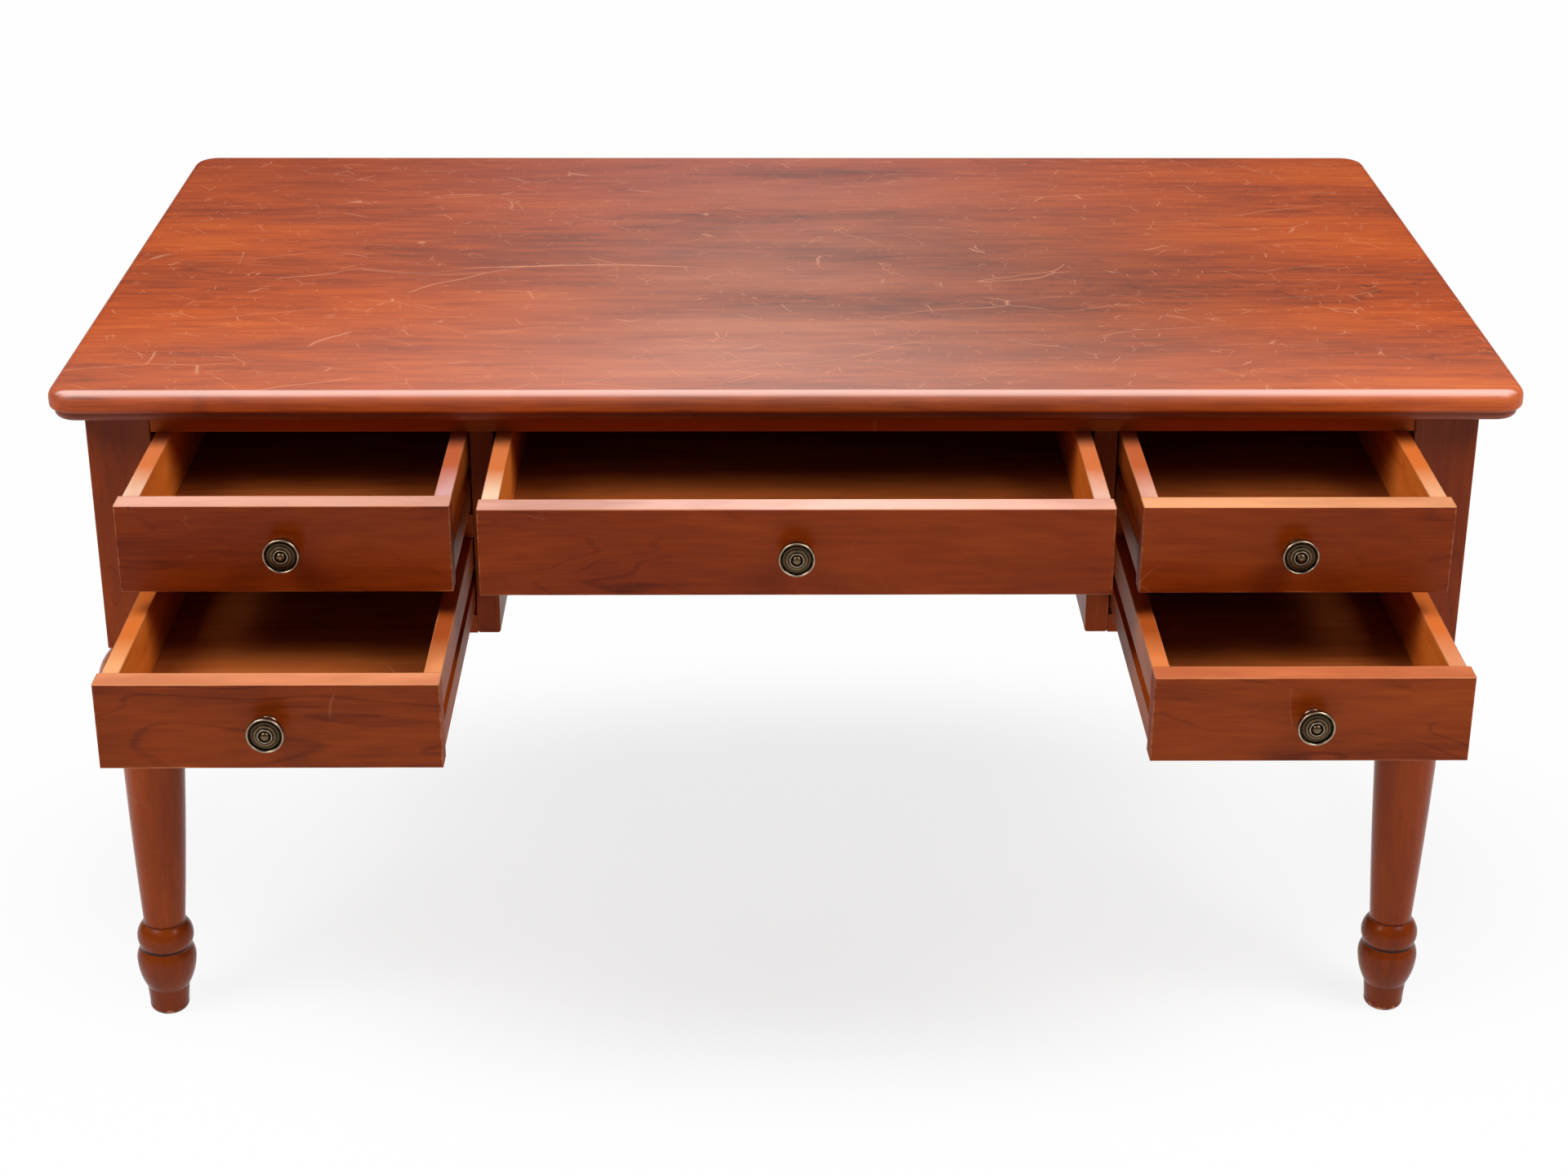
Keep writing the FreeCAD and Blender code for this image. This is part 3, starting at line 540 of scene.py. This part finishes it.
    height = add(tree, "ShaderNodeMath", {0: piece.fibre, 1: 0.5, 2: piece.streak},
                 operation="MULTIPLY_ADD").outputs[0]
    for source, depth in ((marks, -1.2), (dent, -2.0)):
        height = add(tree, "ShaderNodeMath", {0: source, 1: depth, 2: height},
                     operation="MULTIPLY_ADD").outputs[0]
    bump = add(tree, "ShaderNodeBump", {"Strength": 0.2, "Distance": RELIEF,
                                        "Height": height})
    ends = end_grain(piece, grain)
    soaked = add(tree, "ShaderNodeMath", {0: ends, 1: 0.35}, operation="MULTIPLY")
    colour = lay_over(tree, colour, stain[0], soaked.outputs[0])
    gloss = add(tree, "ShaderNodeMath", {0: piece.blotch, 1: 0.2, 2: roughness - 0.1},
                operation="MULTIPLY_ADD")
    for source, weight in ((marks, 0.2), (rubbed, -0.15), (ends, 0.35)):
        gloss = add(tree, "ShaderNodeMath", {0: source, 1: weight, 2: gloss.outputs[0]},
                    operation="MULTIPLY_ADD")
    shader = add(tree, "ShaderNodeBsdfPrincipled",
                 {"Base Color": colour, "Roughness": gloss.outputs[0],
                  "IOR": LACQUER_IOR, "Specular IOR Level": gleam,
                  "Normal": bump.outputs[0]})
    tree.links.new(shader.outputs[0], output.inputs[0])
    return material


# Give a CAD node its finish, in every slot that it has
def finish_node(node, material):
    slots = nodes[node].material_slots
    if not slots:
        nodes[node].data.materials.append(material)
    for slot in slots:
        slot.material = material


finish_node("desk_top", wood_finish(
    "stained_cherry_top", "X", TOP_STAIN, "desk_top", figure=0.12, bands=0.45,
    rings=0.08, fibres=0.36, streaks=0.5, streak_width=0.011, scratches=0.45,
    scratch_layers=TOP_SCRATCHES, edge_wear=0.2, edge_width=0.006,
    edge_colour=WORN_EDGE_AND_HIGHLIGHT, roughness=0.46, gleam=0.4, upper_edges_only=True,
    front_highlight=0.7, dirt_and_shade_lines=TOP_UNDER_EDGE_SHADE, long_scratch=LONG_SCRATCH,
    painted_light_patches=TOP_PAINTED_LIGHT_PATCHES))


# --- Legs ---------------------------------------------------------------------
# Each leg is one piece of cherry: square where the case is joined to it, and
# turned below that to a cup, a long taper, a ring, a vase and a small foot.
CASE_STAIN = ("#622006", "#823208", "#943C08", "#AC5012")
# Dark bands on the legs as (height, reach, strength): dirt with painted shade in the
# three grooves of the turning, the lowest 112 mm a little darker, and the foot's bottom
# rim darker still
LEG_DIRT_AND_SHADE = ((0.082, 0.0036, 0.9), (0.1125, 0.002, 0.6), (0.031, 0.0012, 0.4),
             (0.056, 0.112, 0.2), (0.001, 0.004, 0.7))
LEG_NODES = ("front_left_leg", "front_right_leg", "rear_left_leg", "rear_right_leg")

for node in LEG_NODES:
    finish_node(node, wood_finish(
        "stained_cherry_" + node, "Z", CASE_STAIN, node, figure=0.05,
        scratches=0.08, edge_wear=0.35, roughness=0.25, gleam=0.16,
        dirt_and_shade_lines=LEG_DIRT_AND_SHADE, chipped_below=0.016))


# --- Case: partitions, rails and panels ---------------------------------------
# Flat boards of the same cherry. The partitions' front edges are the posts
# between the drawers, the rails lie flush with them, and panels close the rest.
UPRIGHT_BOARDS = ("left_partition", "right_partition")
# The front top rail has a paler stain than the case: painted light that lifts it out of
# the shade under the top
LIT_RAIL_STAIN = ("#8A380A", "#AE4C0E", "#C05812", "#D0681C")
LEVEL_BOARDS = ("left_mid_rail", "centre_mid_rail", "right_mid_rail",
                "left_bottom_rail", "right_bottom_rail", "left_back_panel",
                "centre_back_panel", "right_back_panel")
END_BOARDS = ("left_end_panel", "right_end_panel")

finish_node("front_top_rail", wood_finish(
    "lit_cherry_front_top_rail", "X", LIT_RAIL_STAIN, "front_top_rail",
    scratches=0.2, edge_wear=0.3))

for boards, grain in ((UPRIGHT_BOARDS, "Z"), (LEVEL_BOARDS, "X"), (END_BOARDS, "Y")):
    for node in boards:
        finish_node(node, wood_finish(
            "stained_cherry_" + node, grain, CASE_STAIN, node,
            scratches=0.2, edge_wear=0.3))


# --- Runners and glue blocks --------------------------------------------------
# Plain unstained maple that the buyer never sees: strips that carry the drawers
# in their grooves, and short blocks glued in the corners under the top.
MAPLE = ("#8F6A45", "#A98057", "#BC946A", "#CCA87F")
DRAWER_NAMES = ("upper_left", "lower_left", "centre", "upper_right", "lower_right")

for name in DRAWER_NAMES:
    for side in ("left", "right"):
        node = "%s_%s_runner" % (name, side)
        finish_node(node, wood_finish(
            "bare_maple_" + node, "Y", MAPLE, node, scratches=0.2,
            edge_wear=0.2, roughness=0.6))
finish_node("glue_blocks", wood_finish(
    "bare_maple_glue_blocks", "Y", MAPLE, "glue_blocks", scratches=0.2,
    edge_wear=0.1, roughness=0.6))


# --- Drawer fronts ------------------------------------------------------------
# Plain-sawn cherry boards with faint cathedral grain. Their upper edges are worn pale
# and carry a painted sheen, and a fine light line runs along each arris.
UPPER_FRONT_STAIN = ("#561A04", "#7A2A04", "#8A3406", "#A0440C")
LOWER_FRONT_STAIN = ("#602006", "#863408", "#983E0A", "#AE5010")
# Upper edges of the fronts: bare wood with a painted sheen in its colour
FRONT_EDGE_WEAR_AND_SHEEN = {
    "upper_left": "#DCA38E", "lower_left": "#EE9A6E", "centre": "#E4AA96",
    "upper_right": "#E39C6E", "lower_right": "#D67A50",
}

for name in DRAWER_NAMES:
    node = name + "_front"
    finish_node(node, wood_finish(
        "stained_cherry_" + node, "X",
        LOWER_FRONT_STAIN if "lower" in name else UPPER_FRONT_STAIN, node, figure=0.08,
        rings=0.1, streaks=0.35, streak_width=0.007, scratches=0.12, edge_wear=0.9,
        edge_width=0.0014, roughness=0.3, gleam=0.14, top_face=1,
        bare_and_sheen_colour=FRONT_EDGE_WEAR_AND_SHEEN[name]))


# --- Drawer sides and backs ---------------------------------------------------
# Thin boards with only a light honey stain, worn pale along their upper edges, where a
# painted sheen also lies and fades towards the back. The sides are grooved outside for
# the runner and inside for the bottom, and the four that face the kneehole are given
# darker colours, the lower two most.
SIDE_WOOD = ("#AC4C1A", "#C8621E", "#D87228", "#E68840")
UPPER_KNEEHOLE_WOOD = ("#983C12", "#B35016", "#C25E1E", "#CE7030")
LOWER_KNEEHOLE_WOOD = ("#7C2C0A", "#933D0F", "#A24A16", "#B05A24")
SIDE_SHADE = "#A4988C"
UPPER_KNEEHOLE_SHADE = "#B7B8AD"
LOWER_KNEEHOLE_SHADE = "#DEEAE0"
KNEEHOLE_SIDES = {
    "upper_left_right_side": (UPPER_KNEEHOLE_WOOD, UPPER_KNEEHOLE_SHADE),
    "upper_right_left_side": (UPPER_KNEEHOLE_WOOD, UPPER_KNEEHOLE_SHADE),
    "lower_left_right_side": (LOWER_KNEEHOLE_WOOD, LOWER_KNEEHOLE_SHADE),
    "lower_right_left_side": (LOWER_KNEEHOLE_WOOD, LOWER_KNEEHOLE_SHADE),
}
# Upper edges of the sides: bare wood with a painted sheen in its colour, which fades to
# the back
SIDE_EDGE_WEAR_AND_SHEEN = {
    "upper_left_left_side": "#DFCAB1", "upper_left_right_side": "#CCA7A8",
    "lower_left_left_side": "#E7A571", "lower_left_right_side": "#DA8A57",
    "centre_left_side": "#E2C3A5", "centre_right_side": "#E2CCBD",
    "upper_right_left_side": "#DAAB9C", "upper_right_right_side": "#D9A27A",
    "lower_right_left_side": "#D67B44", "lower_right_right_side": "#D6936F",
}
BACK_EDGE_COLOUR = "#CC9474"

for name in DRAWER_NAMES:
    for end, outer in (("_left_side", -1), ("_right_side", 1)):
        node = name + end
        wood, shade = KNEEHOLE_SIDES.get(node, (SIDE_WOOD, SIDE_SHADE))
        finish_node(node, wood_finish(
            "honey_cherry_" + node, "Y", wood, node, streaks=0.4, scratches=0.2,
            edge_wear=0.5, roughness=0.5, top_face=0.95,
            bare_and_sheen_colour=SIDE_EDGE_WEAR_AND_SHEEN[node], wear_and_sheen_fade=0.08, outer_side=outer,
            outer_shade=shade))
    node = name + "_back"
    finish_node(node, wood_finish(
        "honey_cherry_" + node, "X", SIDE_WOOD, node, streaks=0.4, scratches=0.2,
        edge_wear=0.5, roughness=0.5, top_face=0.95, bare_and_sheen_colour=BACK_EDGE_COLOUR,
        wear_and_sheen_fade=0.08))


# --- Drawer bottoms -----------------------------------------------------------
# Thin solid boards, lightly stained and left matt, with their grain across the
# drawer. They lie in grooves along the sides and the front.
BOTTOM_WOOD = ("#6C2E0C", "#8C441A", "#A25222", "#B86630")

for name in DRAWER_NAMES:
    node = name + "_bottom"
    finish_node(node, wood_finish(
        "honey_cherry_" + node, "X", BOTTOM_WOOD, node, streaks=0.3,
        scratches=0.3, edge_wear=0, roughness=0.6))


# --- Knobs --------------------------------------------------------------------
# Turned brass with a dark antique patina, screwed to the fronts by a shank from behind.
# Hands have rubbed the rim and the edges of the rings bright, and painted highlights
# make them brighter still; the neck and outer wall are painted lighter as if lit. The
# grooves between them stay dark. Sizes are in mm, a point is (radius, height), and the
# inner groove is given by its outer and inner radius and its depth.
PATINA = "#4C3C2A"
RUBBED_AND_HIGHLIT_BRASS = "#BCA78E"
DULL_BRASS = "#7A674E"
GROOVE_DIRT = "#0C0906"
NECK_BRASS_HIGHLIT = "#7C6452"
NECK_RADIUS = 10.5
NECK_FOOT = 2
FLARE = (15, 15)
FLARE_HOLLOW = -5.5
UNDER_RIM_BULGE = 0.5
KNOB_RADIUS = 17.5
KNOB_HEIGHT = 25.8
CROWN = 0.7
RIM_FROM = 17.5
RIM_TOP = 22
RIM_INSIDE = 15.7
CHANNEL_FLOOR = 20
RING_RADII = (13.3, 10.4, 7.1)
RING_RISE = 1.2
INNER_GROOVE = (6.1, 4.9, 1.3)
BUTTON_FLAT = 1.4
SHANK_RADIUS = 2.5
SHANK_LENGTH = 20
EDGE_ROUND = 0.22
SEAM = 0.002
TARNISH_SIZE = 4
BRASS_RELIEF = 0.2
KNOB_SEGMENTS = 96


# Points along a hollow or crowned line between two outline points
def bowed(start, end, bulge, steps):
    (r0, h0), (r1, h1) = start, end
    length = math.hypot(r1 - r0, h1 - h0)
    out_r, out_h = (h1 - h0) / length, (r0 - r1) / length
    line = []
    for i in range(1, steps):
        t = i / steps
        lift = bulge * 4 * t * (1 - t)
        line.append((r0 + (r1 - r0) * t + out_r * lift,
                     h0 + (h1 - h0) * t + out_h * lift))
    return [start] + line


knob_outline = [(0, -SHANK_LENGTH), (SHANK_RADIUS, -SHANK_LENGTH), (SHANK_RADIUS, 0),
                (NECK_RADIUS, 0)]
knob_outline += bowed((NECK_RADIUS, NECK_FOOT), FLARE, FLARE_HOLLOW, 14)
knob_outline += bowed(FLARE, (KNOB_RADIUS, RIM_FROM), UNDER_RIM_BULGE, 4)
knob_outline += [(KNOB_RADIUS, RIM_FROM)]
knob_outline += bowed((KNOB_RADIUS, RIM_TOP), (RIM_INSIDE, RIM_TOP), CROWN, 8)
knob_outline += [(RIM_INSIDE, RIM_TOP), (RIM_INSIDE, CHANNEL_FLOOR)]
step = CHANNEL_FLOOR
for radius in RING_RADII:
    knob_outline += [(radius, step), (radius, step + RING_RISE)]
    step += RING_RISE
groove_from, groove_to, groove_depth = INNER_GROOVE
knob_outline += [(groove_from, step), (groove_from, step - groove_depth)]
knob_outline += bowed((groove_to, step - groove_depth), (BUTTON_FLAT, KNOB_HEIGHT),
                      CROWN, 8)
knob_outline += [(BUTTON_FLAT, KNOB_HEIGHT), (0, KNOB_HEIGHT)]

# What shows on the knob's face, as (share of its radius, colour) from its middle out:
# button, dark groove, bright ring, two brown steps, dark channel, bright rim. The
# bright ring and rim are worn brass with a painted highlight, and the last colour, a
# painted lighter tone, covers the neck and outer wall.
BRASS_BANDS = (
    (0.1, DULL_BRASS), (0.25, PATINA), (0.28, GROOVE_DIRT), (0.345, GROOVE_DIRT),
    (0.36, RUBBED_AND_HIGHLIT_BRASS), (0.4, RUBBED_AND_HIGHLIT_BRASS), (0.41, GROOVE_DIRT),
    (0.44, GROOVE_DIRT), (0.48, PATINA), (0.565, DULL_BRASS), (0.588, DULL_BRASS),
    (0.6, GROOVE_DIRT), (0.62, GROOVE_DIRT), (0.66, PATINA), (0.73, PATINA),
    (0.755, DULL_BRASS), (0.765, GROOVE_DIRT), (0.89, GROOVE_DIRT),
    (0.905, RUBBED_AND_HIGHLIT_BRASS), (0.985, RUBBED_AND_HIGHLIT_BRASS), (1, NECK_BRASS_HIGHLIT))


# Nodes that turn an outline in the XZ plane round the knob's axis, which runs to
# the front. Each ring's edge is rounded first, and the mesh keeps for the brass
# how far out on its face each point lies, as a share of the rim's radius.
def turning_tree(name):
    tree = bpy.data.node_groups.new(name, "GeometryNodeTree")
    for label, kind in (("Outline", "Geometry"), ("Edge Round", "Float"),
                        ("Face From", "Float"), ("Rim Radius", "Float"),
                        ("Segments", "Int"), ("Finish", "Material")):
        tree.interface.new_socket(label, in_out="INPUT",
                                  socket_type="NodeSocket" + kind)
    tree.interface.new_socket("Turned", in_out="OUTPUT",
                              socket_type="NodeSocketGeometry")
    given = add(tree, "NodeGroupInput").outputs
    rounded = add(tree, "GeometryNodeFilletCurve",
                  {"Curve": given["Outline"], "Count": 3, "Radius": given["Edge Round"],
                   "Limit Radius": True}, mode="POLY")
    profile = add(tree, "GeometryNodeCurveToMesh", {"Curve": rounded.outputs[0]})
    count = add(tree, "GeometryNodeAttributeDomainSize",
                {"Geometry": profile.outputs[0]}, component="MESH")
    columns = add(tree, "ShaderNodeMath", {0: given["Segments"], 1: 1}, operation="ADD")
    grid = add(tree, "GeometryNodeMeshGrid",
               {"Size X": 1, "Size Y": 1, "Vertices X": columns.outputs[0],
                "Vertices Y": count.outputs["Point Count"]})
    in_grid = add(tree, "ShaderNodeSeparateXYZ",
                  {0: add(tree, "GeometryNodeInputPosition").outputs[0]}).outputs
    angle = add(tree, "ShaderNodeMath", {0: in_grid["X"], 1: math.tau},
                operation="MULTIPLY")
    last = add(tree, "ShaderNodeMath", {0: count.outputs["Point Count"], 1: 1},
               operation="SUBTRACT")
    row = add(tree, "ShaderNodeMath", {0: in_grid["Y"], 1: 0.5}, operation="ADD")
    row = add(tree, "ShaderNodeMath", {0: row.outputs[0], 1: last.outputs[0], 2: 0.5},
              operation="MULTIPLY_ADD")
    row = add(tree, "ShaderNodeMath", {0: row.outputs[0]}, operation="FLOOR")
    sample = add(tree, "GeometryNodeSampleIndex",
                 {"Geometry": profile.outputs[0], "Index": row.outputs[0],
                  "Value": add(tree, "GeometryNodeInputPosition").outputs[0]},
                 data_type="FLOAT_VECTOR", domain="POINT")
    on_outline = add(tree, "ShaderNodeSeparateXYZ", {0: sample.outputs[0]}).outputs
    radius, height = on_outline["X"], on_outline["Z"]
    turned = {}
    for axis, kind in (("X", "COSINE"), ("Z", "SINE")):
        wave = add(tree, "ShaderNodeMath", {0: angle.outputs[0]}, operation=kind)
        turned[axis] = add(tree, "ShaderNodeMath", {0: wave.outputs[0], 1: radius},
                           operation="MULTIPLY").outputs[0]
    forward = add(tree, "ShaderNodeMath", {0: height, 1: -1}, operation="MULTIPLY")
    place = add(tree, "ShaderNodeCombineXYZ",
                {"X": turned["X"], "Y": forward.outputs[0], "Z": turned["Z"]})
    on_face = add(tree, "ShaderNodeMath", {0: height, 1: given["Face From"]},
                  operation="GREATER_THAN")
    marked = add(tree, "ShaderNodeMix", {0: on_face.outputs[0], 2: given["Rim Radius"],
                                         3: radius}, data_type="FLOAT")
    share = add(tree, "ShaderNodeMath", {0: marked.outputs[0], 1: given["Rim Radius"]},
                operation="DIVIDE")
    kept = add(tree, "GeometryNodeStoreNamedAttribute",
               {"Geometry": grid.outputs["Mesh"], "Name": "share_of_radius",
                "Value": share.outputs[0]}, data_type="FLOAT", domain="POINT")
    moved = add(tree, "GeometryNodeSetPosition",
                {"Geometry": kept.outputs[0], "Position": place.outputs[0]})
    closed = add(tree, "GeometryNodeMergeByDistance",
                 {"Geometry": moved.outputs[0], "Distance": SEAM / 1000})
    smooth = add(tree, "GeometryNodeSetShadeSmooth", {"Geometry": closed.outputs[0]})
    real = add(tree, "GeometryNodeRealizeInstances", {"Geometry": smooth.outputs[0]})
    finished = add(tree, "GeometryNodeSetMaterial",
                   {"Geometry": real.outputs[0], "Material": given["Finish"]})
    add(tree, "NodeGroupOutput", {0: finished.outputs[0]})
    return tree


# Antique brass. What it gives the eye: a dim brown metal with bright lines, worn and
# painted as highlights, where the rings stand proud, and near black in the grooves
# beside them.
def antique_brass(name):
    material, tree, output = blank_material(name)
    share = add(tree, "ShaderNodeAttribute", attribute_name="share_of_radius")
    where = add(tree, "ShaderNodeTexCoord").outputs["Object"]
    tarnish = add(tree, "ShaderNodeTexNoise",
                  {"Vector": where, "Scale": 1000 / TARNISH_SIZE, "Detail": 4,
                   "Roughness": 0.6})
    rings = add(tree, "ShaderNodeValToRGB", {0: share.outputs["Fac"]},
                [(place, linear(text)) for place, text in BRASS_BANDS])
    old = add(tree, "ShaderNodeMapRange", {0: tarnish.outputs[0], 1: 0.4, 2: 0.68,
                                           3: 0, 4: 0.45})
    colour = lay_over(tree, rings.outputs[0], linear(PATINA), old.outputs[0])
    gloss = add(tree, "ShaderNodeMapRange", {0: tarnish.outputs[0], 1: 0.3, 2: 0.7,
                                             3: 0.24, 4: 0.42})
    bump = add(tree, "ShaderNodeBump",
               {"Strength": 0.2, "Distance": BRASS_RELIEF / 1000,
                "Height": tarnish.outputs[0]})
    shader = add(tree, "ShaderNodeBsdfPrincipled",
                 {"Base Color": colour, "Metallic": 1, "Roughness": gloss.outputs[0],
                  "Normal": bump.outputs[0]})
    tree.links.new(shader.outputs[0], output.inputs[0])
    return material


outline_curve = bpy.data.curves.new("knob_outline", "CURVE")
outline_curve.dimensions = "3D"
outline_line = outline_curve.splines.new("POLY")
outline_line.points.add(len(knob_outline) - 1)
for point, (radius, height) in zip(outline_line.points, knob_outline):
    point.co = (radius / 1000, 0, height / 1000, 1)
outline_object = bpy.data.objects.new("knob_outline", outline_curve)
scene.collection.objects.link(outline_object)

brass = antique_brass("antique_turned_brass")
turning = turning_tree("turned_knob")
modifier = outline_object.modifiers.new("turned", "NODES")
modifier.node_group = turning
sockets = {item.name: item.identifier for item in turning.interface.items_tree}
modifier[sockets["Edge Round"]] = EDGE_ROUND / 1000
modifier[sockets["Face From"]] = RIM_FROM / 1000
modifier[sockets["Rim Radius"]] = KNOB_RADIUS / 1000
modifier[sockets["Segments"]] = KNOB_SEGMENTS
modifier[sockets["Finish"]] = brass
turned_object = outline_object.evaluated_get(bpy.context.evaluated_depsgraph_get())
knob_mesh = bpy.data.meshes.new_from_object(turned_object)
outline_object.modifiers.remove(modifier)
bpy.data.objects.remove(outline_object)

shell = bmesh.new()
shell.from_mesh(knob_mesh)
bmesh.ops.recalc_face_normals(shell, faces=shell.faces)
shell.to_mesh(knob_mesh)
shell.free()

for name in DRAWER_NAMES:
    node = name + "_knob"
    low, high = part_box(node)
    front_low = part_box(name + "_front")[0]
    mesh = knob_mesh.copy()
    mesh.transform(Matrix.Translation(((low.x + high.x) / 2, front_low.y,
                                       (low.z + high.z) / 2)))
    knob = bpy.data.objects.new("turned_knob_" + name, mesh)
    scene.collection.objects.link(knob)
    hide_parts(node)
    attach(knob, name + "_drawer")
